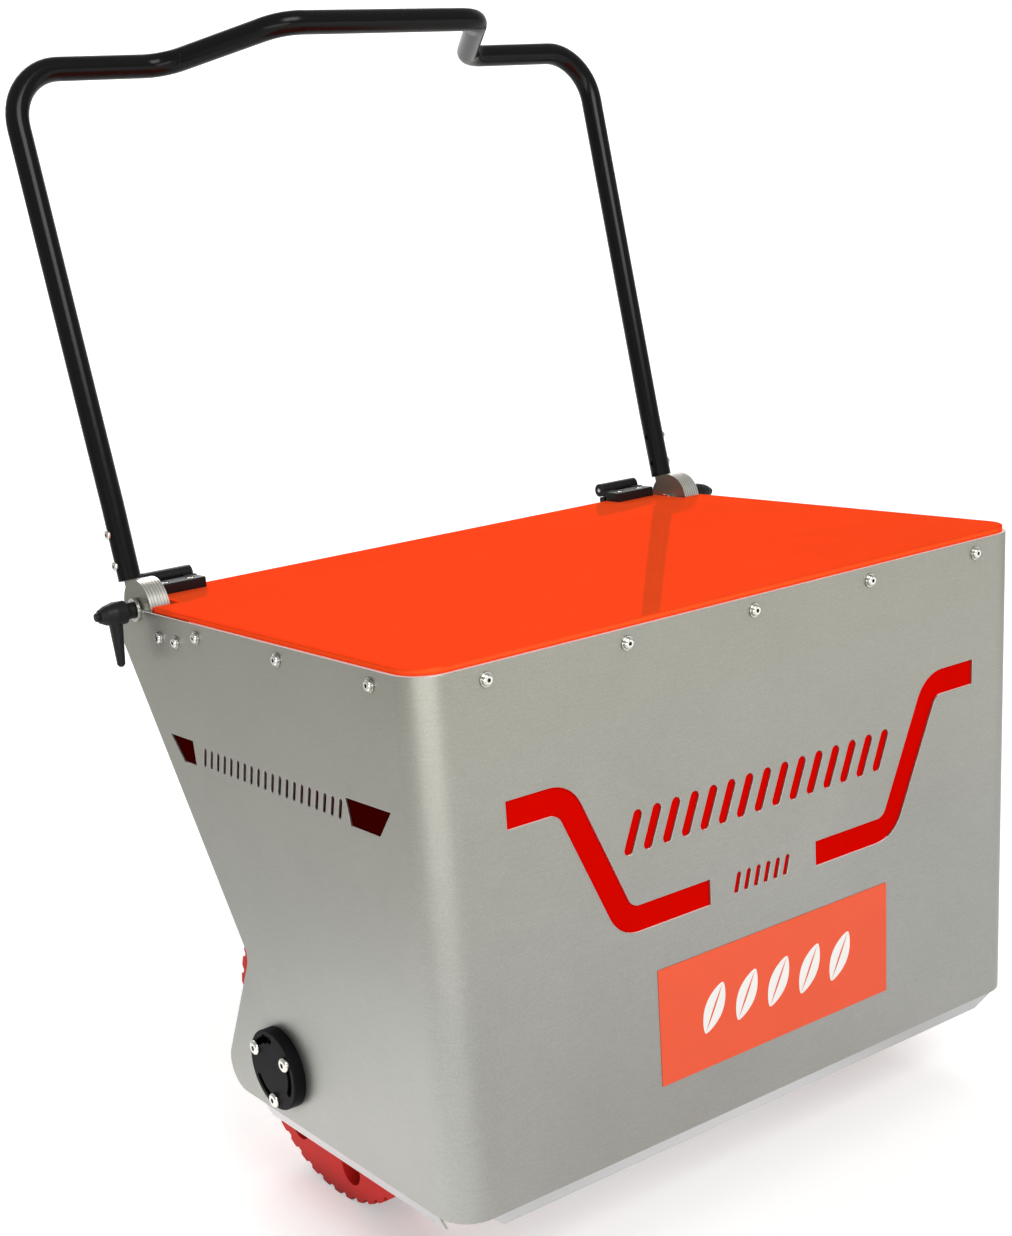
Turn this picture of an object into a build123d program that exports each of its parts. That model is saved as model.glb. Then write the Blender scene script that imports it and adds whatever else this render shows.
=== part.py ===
"""Push seeder: a sheet-metal seed hopper on two lugged wheels, with a hinged lid and a tilting handle.

The front panel faces -Y, the handle stands at the rear (+Y), X runs across and Z is up.
The wheels stand on Z = 0. All sizes are in millimetres.
"""

from build123d import *
from math import cos, hypot, radians, sin
import os

os.makedirs("parts", exist_ok=True)


# ---------------------------------------------------------------- driving dimensions

# The wheel axle; every other Y is counted from it
axle_y = -26.5
axle_z = 150.0
axle_r = 10.0
running_gap = 0.05

# Outer shell
half_width = 350.0
sheet = 2.0
front_y = axle_y - 271
rim_z = 560.0
skirt_z = 95.0
corner_r = 32.0
rear_top_y = axle_y + 245
waist_y, waist_z = axle_y + 43, 247.0
foot_y = axle_y + 122
rear_corner_r, waist_r, foot_r = 4.0, 20.0, 26.0
flange_drop, flange_in = 14.5, 6.5
bolt_hole_r = 2.75
inner_half = half_width - sheet

# Rim strip and its screws
strip_t = 3.0
strip_h = 28.0
rim_screw_z = 548.0
rim_screw_pitch = 142.5
side_screw_ys = (axle_y - 209, axle_y - 70, axle_y + 70)

# Front graphic: two cranked slots, two rows of slanted slots and a plain sign plate
graphic_x = 4.0
band_w = 24.0
band_bend_r = 24.0
sign_w, sign_h, sign_t = 288.0, 110.0, 0.5
sign_x, sign_z = 18.0, 202.5

# Lid
lid_t = 5.2
lid_z = rim_z + 0.3
lid_top = lid_z + lid_t
lid_inset = 3.0
lid_half = half_width - lid_inset
lid_front_y = front_y + lid_inset
lid_rear_y = axle_y + 221
lid_notch_y = axle_y + 153
lid_notch_half = 320.0
lid_corner_r = corner_r - lid_inset

# Lid hinges: a moving leaf flat on the lid and a fixed leaf upright against the rear wall's lip
hinge_y, hinge_z = axle_y + 231.5, 576.5
hinge_barrel_r = 7.2
hinge_pin_r = 2.0
hinge_in, hinge_w = 265.0, 52.0
hinge_leaf_t, hinge_leaf_len = 10.0, 23.0
hinge_leaf_y = lid_rear_y - hinge_leaf_len
hinge_link_t = 6.0
hinge_base_t = 7.6
hinge_base_low, hinge_base_high = 545.0, 568.8
hinge_screw_inset = 12.0
hinge_base_screw_z = 552.5
lip_y = axle_y + 231  # front face of the rear wall's upright lip

# Handle joint
pivot_y, pivot_z = axle_y + 185, rim_z
plate_t = 5.0
plate_gap = 0.1
joint_disc_r = 28.0
clamp_bolt_r = 4.0
bracket_screw_ys = (axle_y + 110.5, axle_y + 142)
bracket_screw_z = 538.5
washer_r, washer_t = 11.0, 1.6

# Handle tube
tube_r, tube_wall = 11.0, 2.0
handle_tilt = 13.1
arm_back = 18.5
arm_x = 340.4
arm_top_x = 346.8
arm_start, arm_straight, arm_end = 29.0, 99.0, 505.0
arm_splay_r, arm_bend_r, grip_bend_r = 300.0, 52.0, 38.0
crank_half, grip_half = 183.0, 115.0
grip_forward, grip_drop = 116.8, 4.4
tube_screw_steps = (15.0, 45.0)

# Bearing discs, held by three screws in curved slots
disc_r, disc_t = 39.0, 12.0
disc_screw_r = 30.0
disc_screw_angles = (30, 150, 270)
disc_slot_sweep, disc_slot_w = 60.0, 6.6
disc_wide_angle, disc_wide_r = 72, 4.6
boss_r, boss_in = 20.0, 326.0
bush_r = 13.0
bore_end = half_width + 2

# Wheels
wheel_r = 150.0
wheel_in, wheel_out = 258.0, 306.0
lug_count, lug_h, lug_w = 46, 3.6, 14.6
wheel_hole_count, wheel_hole_r, wheel_hole_start = 8, 111.5, -103.8
wheel_hole_w, wheel_hole_l = 30.0, 43.0

# Metering roller and hopper floor
roller_r, roller_half = 26.0, 237.0
flute_count, flute_r = 24, 2.6
end_plate_in = 240.0
end_plate_top = 315.0
slope_top = (axle_y - 262, 361.0)
slope_end = (axle_y - 24, 178.0)
rear_end = (axle_y + 20, 178.0)
lip_t = 3.0


# ---------------------------------------------------------------- shared shapes


def screw(shank_r, length, head_r, head_h, flange_r=0.0, flange_t=0.0):
    """A button-head screw: seat on Z = 0, head above it, shank below."""
    with BuildPart() as body:
        if flange_r > 0:
            Cylinder(flange_r, flange_t, align=(Align.CENTER, Align.CENTER, Align.MIN))
        with BuildSketch(Plane.XY.offset(flange_t)):
            Circle(head_r)
        extrude(amount=head_h)
        fillet(body.edges().group_by(Axis.Z)[-1], head_h * 0.6)
        with BuildSketch(Plane.XY.offset(flange_t + head_h)):
            RegularPolygon(head_r * 0.38, 6)
        extrude(amount=-head_h * 0.6, mode=Mode.SUBTRACT)
        Cylinder(shank_r, length, align=(Align.CENTER, Align.CENTER, Align.MAX))
    return body.part


def nut(bore_r, across_flats, thickness):
    """A hexagon nut lying below Z = 0."""
    with BuildPart() as body:
        with BuildSketch():
            RegularPolygon(across_flats / 2, 6, major_radius=False)
            Circle(bore_r + running_gap, mode=Mode.SUBTRACT)
        extrude(amount=-thickness)
    return body.part


def side_plane(side, x, y, z):
    """A plane at a height on one side, facing outwards; side is -1 left, +1 right."""
    return Plane(origin=(side * x, y, z), x_dir=(0, side, 0), z_dir=(side, 0, 0))


def front_plane(x, z):
    """A plane on the front panel, facing forwards."""
    return Plane(origin=(x, front_y, z), x_dir=(1, 0, 0), z_dir=(0, -1, 0))


def top_plane(x, y, z):
    return Plane(origin=(x, y, z), x_dir=(1, 0, 0), z_dir=(0, 0, 1))


def on_arm(along, back):
    """(y, z) of a point by its distance up the handle arm and behind the handle's pivot."""
    tilt = radians(handle_tilt)
    return (
        pivot_y + along * sin(tilt) + back * cos(tilt),
        pivot_z + along * cos(tilt) - back * sin(tilt),
    )


def polar(centre, radius, angle):
    return (centre[0] + radius * cos(radians(angle)), centre[1] + radius * sin(radians(angle)))


rim_planes = [front_plane(k * rim_screw_pitch, rim_screw_z) for k in range(-2, 3)]
rim_planes += [side_plane(s, half_width, y, rim_screw_z) for s in (-1, 1) for y in side_screw_ys]
bracket_planes = [
    side_plane(s, half_width, y, bracket_screw_z) for s in (-1, 1) for y in bracket_screw_ys
]
disc_screw_points = [polar((axle_y, axle_z), disc_screw_r, angle) for angle in disc_screw_angles]
disc_screw_planes = [
    side_plane(s, half_width + disc_t, y, z) for s in (-1, 1) for y, z in disc_screw_points
]

# Side outline of the shell: straight front and rim, a waist and a rear foot
side_outline = [
    (front_y - 1, skirt_z),
    (front_y - 1, rim_z + 1),
    (rear_top_y + 0.6, rim_z + 1),
    (waist_y, waist_z),
    (foot_y, skirt_z),
]


# ---------------------------------------------------------------- outer shell

flange_len = hypot(flange_drop, flange_in)
flange_front_half = half_width - corner_r - 0.5
flange_rear_y = axle_y + 44
flange_front_y = front_y + corner_r + 0.5
flange_mid_y = (flange_rear_y + flange_front_y) / 2
flange_side_half = (flange_rear_y - flange_front_y) / 2

with BuildPart() as outer_shell:
    # bent sheet: front panel and two sides with rounded vertical corners
    with BuildSketch(Plane.XY.offset(skirt_z)) as shell_plan:
        with Locations((0, front_y)):
            Rectangle(2 * half_width, 700, align=(Align.CENTER, Align.MIN))
        fillet(shell_plan.vertices().group_by(Axis.Y)[0], corner_r)
        offset(amount=-sheet, mode=Mode.SUBTRACT)
    extrude(amount=rim_z - skirt_z)
    with BuildSketch(Plane.YZ) as shell_side:
        Polygon(*side_outline, align=None)
        for corner, radius in (
            ((rear_top_y, rim_z), rear_corner_r),
            ((waist_y, waist_z), waist_r),
            ((foot_y, skirt_z), foot_r),
        ):
            fillet(shell_side.vertices().sort_by_distance(corner)[0], radius)
    extrude(amount=half_width + 1, both=True, mode=Mode.INTERSECT)

    # bottom flanges, bent inwards, with mitred ends at the front and square ends at the sides
    with BuildSketch(
        Plane(origin=(0, front_y, skirt_z), x_dir=(1, 0, 0), z_dir=(0, -flange_drop, -flange_in))
    ):
        Polygon(
            (-flange_front_half, 0),
            (flange_front_half, 0),
            (flange_front_half - flange_len, -flange_len),
            (-flange_front_half + flange_len, -flange_len),
            align=None,
        )
    extrude(amount=-sheet)
    with BuildSketch(
        Plane(
            origin=(half_width, flange_mid_y, skirt_z),
            x_dir=(0, 1, 0),
            z_dir=(flange_drop, 0, -flange_in),
        )
    ):
        Rectangle(2 * flange_side_half, flange_len, align=(Align.CENTER, Align.MAX))
    right_flange = extrude(amount=-sheet)
    mirror(right_flange, about=Plane.YZ)

    # front graphic cut-outs
    with BuildSketch(Plane.XZ.offset(-front_y)):
        with BuildLine():
            FilletPolyline((-275, 435.7), (-216, 435.7), (-158, 311), (-61, 311), radius=band_bend_r)
        trace(line_width=band_w)
        mirror(about=Plane.YZ.offset(graphic_x))
        with Locations((graphic_x + 1, 388)):
            with GridLocations(21.5, 0, 15, 1):
                SlotOverall(40, 10, rotation=68)
        with Locations((1.5, 311)):
            with GridLocations(12, 0, 6, 1):
                SlotOverall(20, 5.5, rotation=75)
    extrude(amount=-10, mode=Mode.SUBTRACT)

    # side cut-outs: two slanted windows and a row of slots between them
    with BuildSketch(Plane.YZ):
        with BuildLine():
            Polyline(
                (axle_y + 145, 446),
                (axle_y + 123, 422),
                (axle_y + 99.6, 422.5),
                (axle_y + 101.4, 446.3),
                close=True,
            )
        make_face()
        with BuildLine():
            Polyline(
                (axle_y - 156, 446),
                (axle_y - 222, 447),
                (axle_y - 203, 422),
                (axle_y - 161, 422),
                close=True,
            )
        make_face()
        with Locations((axle_y - 33, 434)):
            with GridLocations(12, 0, 20, 1):
                SlotOverall(19, 5, rotation=105)
    extrude(amount=half_width + 1, both=True, mode=Mode.SUBTRACT)

    # screw holes
    with Locations(*rim_planes, *bracket_planes):
        Cylinder(bolt_hole_r, 12, mode=Mode.SUBTRACT)
    with Locations(*[side_plane(s, half_width, y, z) for s in (-1, 1) for y, z in disc_screw_points]):
        Cylinder(3.2, 12, mode=Mode.SUBTRACT)

    # bearing holes for the disc bosses, and a notch in the rim for each clamp bolt
    with BuildSketch(Plane.YZ):
        with Locations((axle_y, axle_z)):
            Circle(boss_r + running_gap)
        with Locations((pivot_y, pivot_z)):
            Circle(clamp_bolt_r + 0.5)
    extrude(amount=half_width + 1, both=True, mode=Mode.SUBTRACT)
outer_shell.part.label = "outer_shell"
export_step(outer_shell.part, "parts/outer_shell.step")


# ---------------------------------------------------------------- rim strip

with BuildPart() as rim_strip:
    with BuildSketch(Plane.XY.offset(rim_z - strip_h)) as strip_plan:
        with Locations((0, front_y + sheet)):
            Rectangle(2 * inner_half, 700, align=(Align.CENTER, Align.MIN))
        fillet(strip_plan.vertices().group_by(Axis.Y)[0], corner_r - sheet)
        offset(amount=-strip_t, mode=Mode.SUBTRACT)
        with Locations((0, axle_y + 86)):
            Rectangle(800, 800, align=(Align.CENTER, Align.MIN), mode=Mode.SUBTRACT)
    extrude(amount=strip_h)
    with Locations(*rim_planes):
        Cylinder(bolt_hole_r, 14, mode=Mode.SUBTRACT)
rim_strip.part.label = "rim_strip"
export_step(rim_strip.part, "parts/rim_strip.step")

with BuildPart() as rim_screws:
    with Locations(*rim_planes):
        add(screw(2.5, 11, 4.75, 2.9, 6.0, 1.2))
rim_screws.part.label = "rim_screws"
export_step(rim_screws.part, "parts/rim_screws.step")

with BuildPart() as rim_nuts:
    with Locations(*[plane.offset(-sheet - strip_t) for plane in rim_planes]):
        add(nut(2.5, 8, 4))
rim_nuts.part.label = "rim_nuts"
export_step(rim_nuts.part, "parts/rim_nuts.step")


# ---------------------------------------------------------------- rear wall and hopper floor

wall_in = 1.2  # centre line of the rear sheet inside the shell's rear edge
lip_bend_z = rim_z - (rear_top_y - wall_in - lip_y - sheet / 2) * (rim_z - waist_z) / (rear_top_y - waist_y)
lip_screws = [
    Plane(origin=(side * x, lip_y - hinge_base_t, hinge_base_screw_z), x_dir=(1, 0, 0), z_dir=(0, -1, 0))
    for side in (-1, 1)
    for x in (hinge_in + hinge_screw_inset, hinge_in + hinge_w - hinge_screw_inset)
]

with BuildPart() as rear_wall:
    # slanted sheet with its top edge bent upright
    with BuildSketch(Plane.YZ):
        with BuildLine():
            Polyline(
                (lip_y + sheet / 2, rim_z),
                (lip_y + sheet / 2, lip_bend_z),
                (waist_y - wall_in, waist_z),
            )
        trace(line_width=sheet)
    extrude(amount=inner_half - 0.2, both=True)
    # clear the wheels outside the hopper's end plates
    with BuildSketch(Plane.XZ.offset(-axle_y - 150)) as wheel_clear:
        with Locations((0, waist_z - 20)):
            with GridLocations(2 * inner_half, 0, 2, 1):
                Rectangle(
                    2 * (inner_half - end_plate_in + 0.5), 81, align=(Align.CENTER, Align.MIN)
                )
    extrude(amount=200, mode=Mode.SUBTRACT)
    # lower part, which turns down towards the roller
    with BuildSketch(Plane.YZ):
        with BuildLine():
            Line((waist_y - wall_in, waist_z), rear_end)
        trace(line_width=sheet)
        with Locations((waist_y - wall_in, waist_z)):
            Circle(sheet / 2)
    extrude(amount=end_plate_in - 0.5, both=True)
    with Locations(*lip_screws):
        Cylinder(2.2, 30, mode=Mode.SUBTRACT)
rear_wall.part.label = "rear_wall"
export_step(rear_wall.part, "parts/rear_wall.step")

with BuildPart() as hopper_slope:
    with BuildSketch(Plane.YZ):
        with BuildLine():
            Line(slope_top, slope_end)
        trace(line_width=sheet)
    extrude(amount=end_plate_in - 0.5, both=True)
hopper_slope.part.label = "hopper_slope"
export_step(hopper_slope.part, "parts/hopper_slope.step")


def lip_line(start, end, side, reach):
    """A strip lying against the outside of a sheet's end and running on past it."""
    length = hypot(end[0] - start[0], end[1] - start[1])
    along = ((end[0] - start[0]) / length, (end[1] - start[1]) / length)
    away = (side * along[1], -side * along[0])
    shift = (sheet + lip_t) / 2 + 0.02
    points = []
    for step in (-24, reach):
        y = end[0] + along[0] * step + away[0] * shift
        z = end[1] + along[1] * step + away[1] * shift
        points.append((y, z))
    return points


with BuildPart() as front_lip:
    with BuildSketch(Plane.YZ):
        with BuildLine():
            Line(*lip_line(slope_top, slope_end, 1, 9))
        trace(line_width=lip_t)
    extrude(amount=end_plate_in - 0.7, both=True)
front_lip.part.label = "front_lip"
export_step(front_lip.part, "parts/front_lip.step")

with BuildPart() as rear_lip:
    with BuildSketch(Plane.YZ):
        with BuildLine():
            Line(*lip_line((waist_y - wall_in, waist_z), rear_end, -1, 6))
        trace(line_width=lip_t)
    extrude(amount=end_plate_in - 0.7, both=True)
rear_lip.part.label = "rear_lip"
export_step(rear_lip.part, "parts/rear_lip.step")

with BuildPart() as left_end_plate:
    with BuildSketch(Plane.YZ.offset(-end_plate_in)):
        with BuildLine():
            Polyline(
                (axle_y - 226, end_plate_top),
                (axle_y + 78, end_plate_top),
                (axle_y + 46, 247),
                (axle_y + 46, 116),
                (axle_y - 46, 116),
                (axle_y - 70, 190),
                (axle_y - 226, 300),
                close=True,
            )
        make_face()
        with Locations((axle_y, axle_z)):
            Circle(20, mode=Mode.SUBTRACT)
    extrude(amount=-sheet)
left_end_plate.part.label = "left_end_plate"
export_step(left_end_plate.part, "parts/left_end_plate.step")

with BuildPart() as right_end_plate:
    mirror(left_end_plate.part, about=Plane.YZ)
right_end_plate.part.label = "right_end_plate"
export_step(right_end_plate.part, "parts/right_end_plate.step")

arch_front_y = front_y + sheet + 3.6
with BuildPart() as left_wheel_arch:
    with BuildSketch(Plane.XZ.offset(-front_y)):
        with BuildLine():
            Line((-end_plate_in - 1, end_plate_top + 2), (-inner_half + 1, 401.5))
        trace(line_width=sheet)
    extrude(amount=-500)
    # plan view: round the front corner to follow the shell
    with BuildSketch(Plane.XY.offset(200)) as arch_plan:
        with Locations((0, arch_front_y)):
            Rectangle(2 * (inner_half - 0.3), 600, align=(Align.CENTER, Align.MIN))
        fillet(arch_plan.vertices().group_by(Axis.Y)[0], corner_r)
    extrude(amount=300, mode=Mode.INTERSECT)
    # side view: end just in front of the rear wall
    with BuildSketch(Plane.YZ):
        with BuildLine():
            Polyline(
                (rear_top_y - 4, rim_z),
                (waist_y - 4, waist_z),
                (front_y, waist_z),
                (front_y, rim_z),
                close=True,
            )
        make_face()
    extrude(amount=half_width, both=True, mode=Mode.INTERSECT)
left_wheel_arch.part.label = "left_wheel_arch"
export_step(left_wheel_arch.part, "parts/left_wheel_arch.step")

with BuildPart() as right_wheel_arch:
    mirror(left_wheel_arch.part, about=Plane.YZ)
right_wheel_arch.part.label = "right_wheel_arch"
export_step(right_wheel_arch.part, "parts/right_wheel_arch.step")


# ---------------------------------------------------------------- windows and sign

with BuildPart() as front_window:
    with BuildSketch(Plane.XZ.offset(-front_y - sheet - 0.1)):
        with Locations((0, 376)):
            RectangleRounded(630, 176, 4)
    extrude(amount=-3)
front_window.part.label = "front_window"
export_step(front_window.part, "parts/front_window.step")

with BuildPart() as left_window:
    with BuildSketch(Plane.YZ.offset(-inner_half + 0.1)):
        Polygon(
            (axle_y - 238, 411),
            (axle_y + 142, 411),
            (axle_y + 170, 457),
            (axle_y - 238, 457),
            align=None,
        )
    extrude(amount=3)
left_window.part.label = "left_window"
export_step(left_window.part, "parts/left_window.step")

with BuildPart() as right_window:
    mirror(left_window.part, about=Plane.YZ)
right_window.part.label = "right_window"
export_step(right_window.part, "parts/right_window.step")

with BuildPart() as sign_plate:
    with BuildSketch(Plane.XZ.offset(-front_y)):
        with Locations((sign_x, sign_z)):
            RectangleRounded(sign_w, sign_h, 0.8)
    extrude(amount=sign_t)
sign_plate.part.label = "sign_plate"
export_step(sign_plate.part, "parts/sign_plate.step")


# ---------------------------------------------------------------- lid

leaf_screws = [
    top_plane(side * x, hinge_leaf_y + 10.5, lid_top + hinge_leaf_t)
    for side in (-1, 1)
    for x in (hinge_in + hinge_screw_inset, hinge_in + hinge_w - hinge_screw_inset)
]

with BuildPart() as lid:
    with BuildSketch(Plane.XY.offset(lid_z)) as lid_plan:
        with BuildLine():
            Polyline(
                (-lid_half, lid_front_y),
                (lid_half, lid_front_y),
                (lid_half, lid_notch_y),
                (lid_notch_half, lid_notch_y),
                (lid_notch_half, lid_rear_y),
                (-lid_notch_half, lid_rear_y),
                (-lid_notch_half, lid_notch_y),
                (-lid_half, lid_notch_y),
                close=True,
            )
        make_face()
        fillet(lid_plan.vertices().group_by(Axis.Y)[0], lid_corner_r)
        fillet(lid_plan.vertices().group_by(Axis.Y)[-1], 3)
    extrude(amount=lid_t)
    chamfer(lid.faces().sort_by(Axis.Z)[-1].edges(), 0.5)
    with Locations(*leaf_screws):
        Cylinder(2.2, 40, mode=Mode.SUBTRACT)
lid.part.label = "lid"
export_step(lid.part, "parts/lid.step")


# ---------------------------------------------------------------- lid hinges

knuckle_gap = 0.3
knuckle_w = hinge_w / 4
leaf_sink = 2.4


def knuckles(which):
    """Every other quarter of the barrel, as (start, length) across the hinge."""
    return [(hinge_in + k * knuckle_w + knuckle_gap / 2, knuckle_w - knuckle_gap) for k in which]


with BuildPart() as left_hinge_leaf:
    with BuildSketch(Plane.YZ.offset(-hinge_in - hinge_w)):
        with Locations((hinge_leaf_y, lid_top)):
            Rectangle(hinge_leaf_len, hinge_leaf_t, align=(Align.MIN, Align.MIN))
    extrude(amount=hinge_w)
    fillet(left_hinge_leaf.edges().filter_by(Axis.Z), 2)
    fillet(left_hinge_leaf.faces().sort_by(Axis.Z)[-1].edges(), 1.2)
    for start, length in knuckles((0, 3)):
        with BuildSketch(Plane.YZ.offset(-start - length)):
            with Locations((hinge_y, hinge_z)):
                Circle(hinge_barrel_r)
            with Locations((hinge_y, hinge_z - 6.4)):
                Rectangle(hinge_y - lid_rear_y + 4, hinge_link_t, align=(Align.MAX, Align.MIN))
        extrude(amount=length)
    with BuildSketch(Plane.YZ.offset(-hinge_in - hinge_w - 1)):
        with Locations((hinge_y, hinge_z)):
            Circle(hinge_pin_r + running_gap)
    extrude(amount=hinge_w + 2, mode=Mode.SUBTRACT)
    with Locations(*leaf_screws):
        Cylinder(2.2, 40, mode=Mode.SUBTRACT)
        Cylinder(4.2, 2 * leaf_sink, mode=Mode.SUBTRACT)
    split(bisect_by=Plane.XY.offset(lid_top + 0.01), keep=Keep.TOP)
left_hinge_leaf.part.label = "left_hinge_leaf"
export_step(left_hinge_leaf.part, "parts/left_hinge_leaf.step")

with BuildPart() as right_hinge_leaf:
    mirror(left_hinge_leaf.part, about=Plane.YZ)
right_hinge_leaf.part.label = "right_hinge_leaf"
export_step(right_hinge_leaf.part, "parts/right_hinge_leaf.step")

with BuildPart() as left_hinge_base:
    with BuildSketch(Plane.YZ.offset(-hinge_in - hinge_w)):
        with Locations((lip_y - 0.01, hinge_base_low)):
            Rectangle(
                hinge_base_t, hinge_base_high - hinge_base_low, align=(Align.MAX, Align.MIN)
            )
    extrude(amount=hinge_w)
    fillet(left_hinge_base.edges().filter_by(Axis.Y).group_by(Axis.Z)[0], 2)
    for start, length in knuckles((1, 2)):
        with BuildSketch(Plane.YZ.offset(-start - length)):
            with Locations((hinge_y, hinge_z)):
                Circle(hinge_barrel_r)
            with Locations((lip_y - 0.01, hinge_base_high - 2)):
                Rectangle(hinge_base_t - 1.4, hinge_z - hinge_base_high, align=(Align.MAX, Align.MIN))
        extrude(amount=length)
    with BuildSketch(Plane.YZ.offset(-hinge_in - hinge_w - 1)):
        with Locations((hinge_y, hinge_z)):
            Circle(hinge_pin_r + running_gap)
    extrude(amount=hinge_w + 2, mode=Mode.SUBTRACT)
    with Locations(*lip_screws):
        Cylinder(2.2, 30, mode=Mode.SUBTRACT)
        Cylinder(4.2, 2 * leaf_sink, mode=Mode.SUBTRACT)
left_hinge_base.part.label = "left_hinge_base"
export_step(left_hinge_base.part, "parts/left_hinge_base.step")

with BuildPart() as right_hinge_base:
    mirror(left_hinge_base.part, about=Plane.YZ)
right_hinge_base.part.label = "right_hinge_base"
export_step(right_hinge_base.part, "parts/right_hinge_base.step")

with BuildPart() as hinge_pins:
    for side in (-1, 1):
        with BuildSketch(Plane.YZ.offset(side * (hinge_in + hinge_w / 2))):
            with Locations((hinge_y, hinge_z)):
                Circle(hinge_pin_r)
        extrude(amount=hinge_w / 2 + 0.5, both=True)
hinge_pins.part.label = "hinge_pins"
export_step(hinge_pins.part, "parts/hinge_pins.step")

with BuildPart() as hinge_leaf_screws:
    with Locations(*[plane.offset(-leaf_sink) for plane in leaf_screws]):
        add(screw(2.0, 16, 3.8, 2.4))
hinge_leaf_screws.part.label = "hinge_leaf_screws"
export_step(hinge_leaf_screws.part, "parts/hinge_leaf_screws.step")

with BuildPart() as hinge_leaf_nuts:
    with Locations(*[plane.offset(-hinge_leaf_t - lid_t) for plane in leaf_screws]):
        add(nut(2.0, 7, 3))
hinge_leaf_nuts.part.label = "hinge_leaf_nuts"
export_step(hinge_leaf_nuts.part, "parts/hinge_leaf_nuts.step")

with BuildPart() as hinge_base_screws:
    with Locations(*[plane.offset(-leaf_sink) for plane in lip_screws]):
        add(screw(2.0, 12, 3.8, 2.4))
hinge_base_screws.part.label = "hinge_base_screws"
export_step(hinge_base_screws.part, "parts/hinge_base_screws.step")

with BuildPart() as hinge_base_nuts:
    with Locations(*[plane.offset(-hinge_base_t - sheet) for plane in lip_screws]):
        add(nut(2.0, 7, 3))
hinge_base_nuts.part.label = "hinge_base_nuts"
export_step(hinge_base_nuts.part, "parts/hinge_base_nuts.step")


# ---------------------------------------------------------------- handle joints

# Plate stack from the panel inwards: outer cheek, tongue or spacer, inner cheek, clamp plate
stack = [inner_half - k * (plate_t + plate_gap) for k in range(4)]
tail_front_y = axle_y + 97
tail_low, tail_high = 527.0, 550.0

with BuildPart() as left_cheeks:
    for outer_x in (stack[0], stack[2]):
        with BuildSketch(Plane.YZ.offset(-outer_x)):
            with Locations((pivot_y, pivot_z)):
                Circle(joint_disc_r)
            with Locations((tail_front_y, tail_low)):
                Rectangle(
                    pivot_y - tail_front_y, tail_high - tail_low, align=(Align.MIN, Align.MIN)
                )
            with Locations((pivot_y, pivot_z)):
                Circle(clamp_bolt_r + running_gap, mode=Mode.SUBTRACT)
            with Locations(*[(y, bracket_screw_z) for y in bracket_screw_ys]):
                Circle(bolt_hole_r, mode=Mode.SUBTRACT)
        extrude(amount=plate_t)
left_cheeks.part.label = "left_cheeks"
export_step(left_cheeks.part, "parts/left_cheeks.step")

with BuildPart() as left_spacer_plate:
    with BuildSketch(Plane.YZ.offset(-stack[1])):
        with Locations((tail_front_y, tail_low)):
            Rectangle(
                axle_y + 154 - tail_front_y, tail_high - tail_low, align=(Align.MIN, Align.MIN)
            )
        with Locations((pivot_y, pivot_z)):
            Circle(joint_disc_r + 1, mode=Mode.SUBTRACT)
        with Locations(*[(y, bracket_screw_z) for y in bracket_screw_ys]):
            Circle(bolt_hole_r, mode=Mode.SUBTRACT)
    extrude(amount=plate_t)
left_spacer_plate.part.label = "left_spacer_plate"
export_step(left_spacer_plate.part, "parts/left_spacer_plate.step")

with BuildPart() as left_clamp_plate:
    with BuildSketch(Plane.YZ.offset(-stack[3])):
        with Locations((pivot_y, pivot_z)):
            Circle(joint_disc_r)
            Circle(clamp_bolt_r + running_gap, mode=Mode.SUBTRACT)
    extrude(amount=plate_t)
left_clamp_plate.part.label = "left_clamp_plate"
export_step(left_clamp_plate.part, "parts/left_clamp_plate.step")

tongue_w = 2 * (tube_r - tube_wall) - 1.2
with BuildPart() as left_tongue:
    with BuildSketch(Plane.YZ.offset(-stack[1])):
        with Locations((pivot_y, pivot_z)):
            Circle(joint_disc_r)
        with BuildLine():
            Polyline(
                on_arm(0, arm_back - tongue_w / 2),
                on_arm(arm_start + 55, arm_back - tongue_w / 2),
                on_arm(arm_start + 55, arm_back + tongue_w / 2),
                on_arm(0, arm_back + tongue_w / 2),
                close=True,
            )
        make_face()
        with Locations((pivot_y, pivot_z)):
            Circle(clamp_bolt_r + running_gap, mode=Mode.SUBTRACT)
        with Locations(*[on_arm(arm_start + step, arm_back) for step in tube_screw_steps]):
            Circle(2.5 + running_gap, mode=Mode.SUBTRACT)
    extrude(amount=plate_t)
left_tongue.part.label = "left_tongue"
export_step(left_tongue.part, "parts/left_tongue.step")

for node, source in (
    ("right_cheeks", left_cheeks),
    ("right_spacer_plate", left_spacer_plate),
    ("right_clamp_plate", left_clamp_plate),
    ("right_tongue", left_tongue),
):
    with BuildPart() as right_plate:
        mirror(source.part, about=Plane.YZ)
    right_plate.part.label = node
    export_step(right_plate.part, f"parts/{node}.step")

with BuildPart() as bracket_screws:
    with Locations(*bracket_planes):
        add(screw(2.5, 24, 4.75, 2.9, 6.0, 1.2))
bracket_screws.part.label = "bracket_screws"
export_step(bracket_screws.part, "parts/bracket_screws.step")

with BuildPart() as bracket_nuts:
    with Locations(*[plane.offset(stack[2] - plate_t - half_width) for plane in bracket_planes]):
        add(nut(2.5, 8, 4))
bracket_nuts.part.label = "bracket_nuts"
export_step(bracket_nuts.part, "parts/bracket_nuts.step")

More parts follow.
